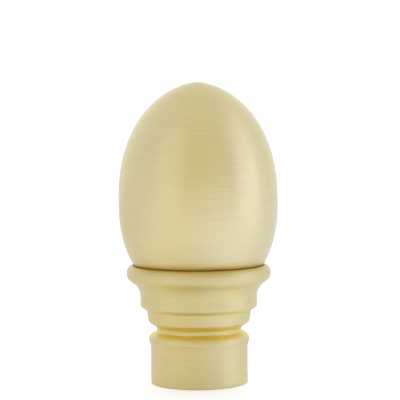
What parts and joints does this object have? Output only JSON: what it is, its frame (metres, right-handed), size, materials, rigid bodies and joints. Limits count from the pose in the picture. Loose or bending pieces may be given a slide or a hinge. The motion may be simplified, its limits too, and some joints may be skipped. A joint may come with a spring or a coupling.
{
  "type": "curtain pole finial",
  "caption": "Egg-shaped satin brass curtain pole finial on a moulded collar, with a plain socket that slides over the pole's end and is held by a grub screw.",
  "frame": {"origin": "centre of the socket's mouth, in the plane of the foot that the finial stands on", "axes": "+Z along the pole axis from the socket to the nose of the egg, +Y towards the grub screw at the back"},
  "size_m": [0.0562, 0.0562, 0.1064],
  "materials": {
    "head_brass": "pale satin brass, brushed round the axis",
    "collar_brass": "pale satin brass casting, turned and hand finished",
    "screw_steel": "plain zinc plated steel"
  },
  "bodies": {
    "root": {"egg_head": "head_brass", "socket_collar": "collar_brass", "grub_screw": "screw_steel"}
  },
  "joints": []
}
